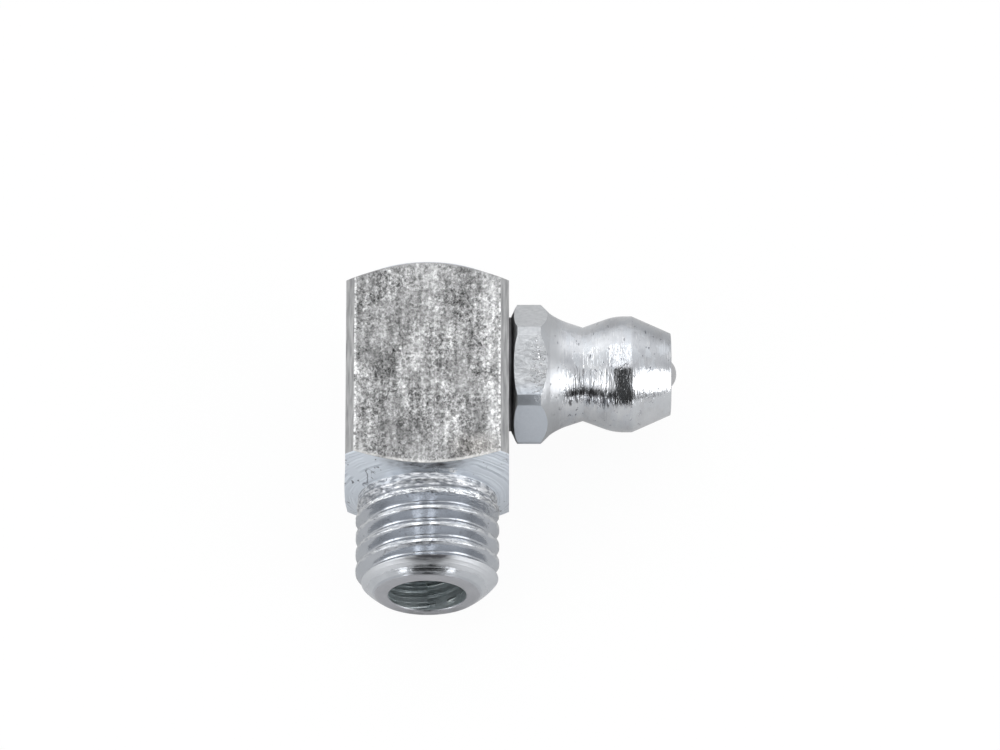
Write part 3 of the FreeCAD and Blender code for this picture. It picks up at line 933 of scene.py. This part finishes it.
def chamfer_finish():
    """End chamfer, cut bright and smooth, with a painted dark reflection near its top."""
    finish = Finish("bright_chamfer_zinc", (0.54, 0.56, 0.59), 0.15)
    radius = finish.from_axis((1, 0, 1))
    rings = finish.lines(radius, 7.0, 3.0)
    haze = finish.noise(1.5, 3.0)
    colour = finish.blend(haze, (0.48, 0.5, 0.53), (0.63, 0.65, 0.68))
    rim = finish.span(finish.math("MULTIPLY_ADD", haze, 0.2, radius), 3.36, 3.52)
    colour = finish.blend(rim, colour, (0.6, 0.615, 0.64))
    # Painted dark reflection: a dark, streaky patch on the chamfer's +Z side, just under the last
    # crest.
    streak = finish.noise(1.0, 3.0, stretch=(1.2, 7.0, 7.0), away=33.0)
    shade = finish.spot_of((0.15, -5.1, 3.66), (1.6, 0.5, 0.4), 1.5)
    shade = finish.product(shade, finish.span(streak, 0.35, 0.6, 0.5, 1.0))
    finish.set("Base Color", finish.blend(shade, colour, (0.12, 0.12, 0.13)))
    smooth = finish.span(haze, 0.35, 0.65, 0.12, 0.2)
    finish.set("Roughness", finish.total(smooth, finish.product(rim, 0.34)))
    finish.bump((rings, 0.02), (haze, 0.02), rounding=0.12)
    return finish.material


def end_finish():
    """End face of the stub, faced smooth and pale, darker in uneven patches low down."""
    finish = Finish("end_face_zinc", (0.5, 0.5, 0.54), 0.34)
    rings = finish.lines(finish.from_axis((1, 0, 1)), 6.0, 2.0)
    cloud = finish.noise(0.8)
    colour = finish.blend(cloud, (0.37, 0.375, 0.4), (0.49, 0.495, 0.52))
    # Darker in uneven patches towards the -Z side of the face.
    worn = finish.span(finish.noise(2.4, 3.0, away=15.0), 0.4, 0.6, 0.1, 0.6)
    z = finish.split(finish.place)[2]
    low = finish.product(finish.span(z, -2.4, -1.4, 1.0, 0.0), worn)
    finish.set("Base Color", finish.blend(low, colour, (0.17, 0.17, 0.18)))
    finish.bump((rings, 0.01), (cloud, 0.02), rounding=0.12)
    return finish.material


def bore_finish():
    """Drilled bore: grey-green steel with a few bright spiral scratches of the drill."""
    finish = Finish("drilled_bore_steel", (0.4, 0.42, 0.41), 0.3)
    x, y, z = finish.split(finish.place)
    height = finish.math("MULTIPLY_ADD", finish.math("ARCTAN2", x, z), 0.3, y)
    shown = finish.span(finish.noise(0.9, away=3.0), 0.4, 0.6, 0.1, 1.0)
    spiral = finish.product(finish.centred(finish.lines(height, 2.6, 3.0)), shown)
    scratch = finish.span(spiral, 0.06, 0.1)
    grit = finish.noise(4.0)
    colour = finish.blend(grit, (0.64, 0.69, 0.71), (0.84, 0.89, 0.9))
    finish.set("Base Color", finish.blend(scratch, colour, (0.9, 0.93, 0.91)))
    finish.set("Roughness", finish.span(scratch, 0.0, 1.0, 0.36, 0.2))
    finish.bump((spiral, 0.09), (grit, 0.006))
    return finish.material


def head_finish():
    """Turned head under bright zinc: fine rings, short scratches, small nicks, dark strokes,
    painted shade above and painted light below.
    """
    finish = Finish("turned_head_zinc", (0.56, 0.57, 0.59), 0.17)
    place, y, z = finish.split(finish.place)

    def beyond(start, end, to_low=0.0, to_high=1.0):
        return finish.span(place, HALF_BAR + start, HALF_BAR + end, to_low, to_high)

    nose = beyond(4.5, 5.4)
    broad = finish.lines(place, 1.3, 1.0)
    shown = finish.span(finish.noise(0.8, away=14.0), 0.4, 0.62, 0.25, 1.0)
    rings = finish.centred(finish.lines(place, 5.0, 4.0))
    rings = finish.product(rings, shown, finish.span(nose, 0.0, 1.0, 0.55, 1.0))
    tick = finish.noise(1.0, stretch=(13.0, 1.3, 1.3), away=19.0)
    nick = finish.span(finish.noise(2.4, 3.0, stretch=(1.6, 1, 1), away=8.0), 0.66, 0.7)
    patch = finish.noise(1.3, 3.0, stretch=(1.5, 0.8, 0.8), away=47.0)
    patch = finish.span(patch, 0.5, 0.55, 0.0, 0.5)
    cloud = finish.noise(0.7, 3.0)
    colour = finish.blend(finish.span(cloud, 0.3, 0.7), (0.47, 0.48, 0.505), (0.66, 0.67, 0.69))
    colour = finish.blend(finish.span(tick, 0.6, 0.74, 0.0, 0.4), colour, (0.9, 0.9, 0.9))
    colour = finish.blend(finish.span(tick, 0.26, 0.38, 0.25, 0.0), colour, (0.2, 0.21, 0.23))
    colour = finish.blend(beyond(6.75, 6.85, 0.0, 0.2), colour, (0.2, 0.21, 0.22))
    colour = finish.blend(patch, colour, (0.55, 0.575, 0.61))
    colour = finish.blend(nick, colour, (0.24, 0.25, 0.28))
    milky = beyond(2.65, 3.15, 1.0, 0.0)
    colour = finish.blend(finish.product(milky, 0.75), colour, (0.42, 0.43, 0.445))
    # Painted shade: the upper (+Y) side of the head, from the neck on, is darkened.
    above = finish.span(y, HEAD_HEIGHT + 0.5, HEAD_HEIGHT + 1.5, 0.0, 0.28)
    colour = finish.blend(finish.product(above, nose), colour, (0.16, 0.165, 0.18))
    # Painted light: the lower (-Y) side of the nose cone is lightened.
    below = finish.span(y, HEAD_HEIGHT - 1.6, HEAD_HEIGHT - 1.0, 0.35, 0.0)
    colour = finish.blend(finish.product(below, beyond(6.7, 6.9)), colour, (0.8, 0.81, 0.83))

    # Dark strokes in a band between the top and the -Y side, from the hollow to the belly's end.
    turn = finish.math("ARCTAN2", finish.math("SUBTRACT", HEAD_HEIGHT, y), z)
    ragged = finish.noise(1.0, 3.0, stretch=(5.0, 0.6, 0.6), away=41.0)
    turn = finish.math("MULTIPLY_ADD", ragged, 0.5, turn)
    stroke_band = finish.product(finish.span(turn, 0.96, 1.03), finish.span(turn, 1.24, 1.31, 1.0, 0.0))
    along = finish.product(beyond(2.95, 3.3), beyond(5.7, 6.1, 1.0, 0.0))
    dark_stroke = finish.noise(1.0, stretch=(11.0, 1.8, 1.8), away=37.0)
    dark_stroke = finish.span(finish.math("MULTIPLY_ADD", nose, 0.09, dark_stroke), 0.46, 0.52)
    dark_stroke = finish.product(dark_stroke, stroke_band, along, 0.82)
    finish.set("Base Color", finish.blend(dark_stroke, colour, (0.05, 0.05, 0.055)))
    dull = finish.span(cloud, 0.3, 0.7, 0.11, 0.18)
    dull = finish.math("MULTIPLY_ADD", patch, 0.07, dull)
    finish.set("Roughness", finish.math("MULTIPLY_ADD", milky, 0.22, dull))
    finish.bump(
        (broad, 0.018), (rings, 0.024), (tick, 0.012), (patch, 0.01),
        (finish.product(nick, -1.0), 0.03),
    )
    return finish.material


def hexagon_finish():
    """Flats of the hexagon, milled and plated, with small bright dents and a painted lighter, bluer
    reflection on the flats towards -Y.
    """
    finish = Finish("hexagon_zinc", (0.55, 0.56, 0.59), 0.3)
    grit = finish.noise(4.0, 3.0)
    broad = finish.noise(0.8, away=3.0)
    dent = finish.span(finish.noise(8.0, 3.0, away=6.0), 0.56, 0.62)
    dent = finish.product(dent, finish.spot_of((6.35, 6.1, 3.45), (0.65, 2.1, 1.6), 1.0))
    colour = finish.blend(grit, (0.42, 0.435, 0.455), (0.72, 0.73, 0.745))
    # Painted reflection: the flats towards -Y are blended to a lighter, bluer tone.
    y = finish.split(finish.place)[1]
    below = finish.span(y, HEAD_HEIGHT - 2.6, HEAD_HEIGHT - 1.8, 0.8, 0.0)
    colour = finish.blend(below, colour, (0.62, 0.665, 0.73))
    radius = finish.from_axis((0, 1, 1), (0, HEAD_HEIGHT, 0))
    corner = finish.span(radius, HEX_CORNER_RADIUS - 0.025, HEX_CORNER_RADIUS - 0.01)
    colour = finish.blend(finish.product(corner, 0.15), colour, (0.2, 0.2, 0.2))
    finish.set("Base Color", finish.blend(dent, colour, (1.0, 1.0, 1.0)))
    dull = finish.span(corner, 0.0, 1.0, 0.3, 0.5)
    finish.set("Roughness", finish.math("MULTIPLY_ADD", dent, -0.12, dull))
    finish.bump((grit, 0.016), (broad, 0.03), (dent, 0.15))
    return finish.material


def gap_shade_finish():
    """Rear chamfer and washer face of the hexagon, dull, with painted shade in the narrow gap that
    fades to lighter outwards.
    """
    finish = Finish("gap_shade_zinc", (0.13, 0.135, 0.145), 0.4)
    radius = finish.from_axis((0, 1, 1), (0, HEAD_HEIGHT, 0))
    dark = finish.blend(finish.noise(2.0), (0.12, 0.12, 0.13), (0.26, 0.26, 0.27))
    outer = finish.span(radius, 3.3, 3.62)
    finish.set("Base Color", finish.blend(outer, dark, (0.7, 0.71, 0.73)))
    return finish.material


def ball_finish():
    """Polished bearing ball with the faint haze of handling."""
    finish = Finish("polished_ball", (0.55, 0.55, 0.56), 0.12)
    haze = finish.noise(3.0, 3.0)
    finish.set("Base Color", finish.blend(haze, (0.46, 0.46, 0.47), (0.6, 0.6, 0.61)))
    finish.set("Roughness", finish.span(haze, 0.3, 0.7, 0.1, 0.22))
    return finish.material


def spring_finish():
    """Drawn spring wire, slightly dull."""
    finish = Finish("spring_wire_steel", (0.5, 0.5, 0.51), 0.3)
    grit = finish.noise(9.0)
    finish.set("Base Color", finish.blend(grit, (0.42, 0.42, 0.43), (0.58, 0.58, 0.59)))
    finish.bump((grit, 0.004))
    return finish.material


# Studio.

def heading(turn, lift):
    """Direction in degrees: turned from -Y towards +X, and lifted."""
    turn, lift = math.radians(turn), math.radians(lift)
    return Vector((
        math.sin(turn) * math.cos(lift), -math.cos(turn) * math.cos(lift), math.sin(lift),
    ))


def make_floor():
    """Pale floor under the part, which shows white to the camera and keeps a soft shadow."""
    bpy.ops.object.select_all(action="DESELECT")
    bpy.ops.mesh.primitive_grid_add(
        x_subdivisions=4, y_subdivisions=4, size=3.0, location=(0, 0, -HALF_BAR * MILLIMETRE),
    )
    floor = bpy.context.object
    floor.name = "floor"
    material = bpy.data.materials.new("pale_floor")
    material.use_nodes = True
    sheet = Nodes(material.node_tree)
    sheet.nodes.clear()
    paper = sheet.add("BsdfDiffuse", {"Color": (0.58, 0.58, 0.58)})
    glow = sheet.add("Emission", {"Color": (1, 1, 1), "Strength": 1.03})
    rays = sheet.add("LightPath", {}).outputs
    mirrored = sheet.math("MAXIMUM", rays["Is Glossy Ray"], rays["Is Transmission Ray"])
    dimmed = sheet.product(mirrored, 0.27)
    share = sheet.math("MULTIPLY_ADD", rays["Is Camera Ray"], 0.92, dimmed, use_clamp=True)
    mix = sheet.add("MixShader", {0: share, 1: paper.outputs[0], 2: glow.outputs[0]})
    sheet.add("OutputMaterial", {"Surface": mix.outputs[0]})
    floor.data.materials.append(material)


def make_world():
    """Room round the part: bright above, dimmer at the horizon, with the dark camera stand."""
    world = bpy.data.worlds.new("studio")
    bpy.context.scene.world = world
    world.use_nodes = True
    room = Nodes(world.node_tree, easing="SMOOTHSTEP")
    room.nodes.clear()
    direction = room.add("TexCoord", {}).outputs["Generated"]
    x, y, z = room.split(direction)
    strength = room.product(room.span(z, 0.0, 0.5, 0.6, 0.98), room.span(z, 0.6, 1.0, 1.0, 1.04))

    sideways = room.math("ABSOLUTE", x)
    narrow = room.math("SUBTRACT", sideways, room.span(z, 0.25, 0.6, 0.67, 0.35))
    stand = room.product(
        room.span(narrow, -0.04, 0.04, 1.0, 0.0),
        room.span(y, -0.22, -0.12, 1.0, 0.0),
        room.span(sideways, 0.25, 0.65, 0.95, 0.8),
        room.span(z, 0.01, 0.06),
    )
    strength = room.product(strength, room.math("SUBTRACT", 1.0, stand))
    back = room.product(room.span(y, 0.15, 0.75, 0.0, 0.45), room.span(z, 0.75, 0.9, 1.0, 0.0))
    strength = room.total(strength, back)

    # Two round lamps low in front, and two tubes overhead.
    for turn, reach in ((-27.0, 5.5), (27.0, 4.5)):
        towards = room.vector("DOT_PRODUCT", direction, heading(turn, 5.0))
        outer, inner = (math.cos(math.radians(angle)) for angle in (reach + 2, reach - 2))
        strength = room.total(strength, room.span(towards, outer, inner, 0.0, 3.0))
    for place, half in ((-0.27, 0.05), (0.13, 0.035)):
        apart = room.math("ABSOLUTE", room.math("SUBTRACT", x, place))
        tube = room.product(
            room.span(apart, half - 0.02, half + 0.02, 3.3, 0.0),
            room.span(y, -0.18, -0.1),
            room.span(y, 0.58, 0.66, 1.0, 0.0),
            room.span(z, 0.3, 0.4),
        )
        strength = room.total(strength, tube)

    lit = room.add("Background", {"Color": (0.98, 0.99, 1.0), "Strength": strength})
    white = room.add("Background", {"Color": (1, 1, 1), "Strength": 1.0})
    seen = room.add("LightPath", {}).outputs["Is Camera Ray"]
    mix = room.add("MixShader", {0: seen, 1: lit.outputs[0], 2: white.outputs[0]})
    room.add("OutputWorld", {"Surface": mix.outputs[0]})


def panel(name, centre, facing, width, height, brightness):
    """Lamp panel at a place in metres; at brightness 1 it shows as white in a mirror."""
    lamp = bpy.data.lights.new(name, "AREA")
    lamp.shape = "RECTANGLE"
    lamp.size, lamp.size_y = width, height
    lamp.energy = brightness * math.pi * width * height
    holder = bpy.data.objects.new(name, lamp)
    bpy.context.scene.collection.objects.link(holder)
    holder.location = centre
    holder.rotation_mode = "QUATERNION"
    holder.rotation_quaternion = Vector(facing).to_track_quat("-Z", "Y")
    holder.visible_camera = False


def make_lamps():
    """Tall panels to the left and right of the camera, with a gap between them."""
    for turn in (-66, 66):
        back = heading(turn, 22)
        panel("side_panel", back * 0.6, -back, width=0.38, height=0.36, brightness=2.7)


def make_camera():
    """Camera of the photograph: high in front, far off, with a long lens."""
    elevation = math.radians(65.9)
    distance = 490.0
    pixels_per_millimetre = 18.1
    image_width = 1000
    aim_right, aim_up = 4.0, 6.637
    right = Vector((1, 0, 0))
    back = Vector((0, -math.cos(elevation), math.sin(elevation)))
    up = back.cross(right)
    aim = right * aim_right + up * aim_up
    camera = bpy.data.cameras.new("camera")
    camera.sensor_width = 36.0
    camera.lens = pixels_per_millimetre * distance * camera.sensor_width / image_width
    camera.clip_start, camera.clip_end = 0.01, 10.0
    holder = bpy.data.objects.new("camera", camera)
    bpy.context.scene.collection.objects.link(holder)
    turn = Matrix((right, up, back)).transposed()
    holder.matrix_world = Matrix.Translation((aim + back * distance) * MILLIMETRE) @ turn.to_4x4()
    bpy.context.scene.camera = holder


make_body()
make_head()
make_ball()
make_spring()
make_floor()
make_world()
make_lamps()
make_camera()
bpy.context.scene.view_settings.view_transform = "Standard"
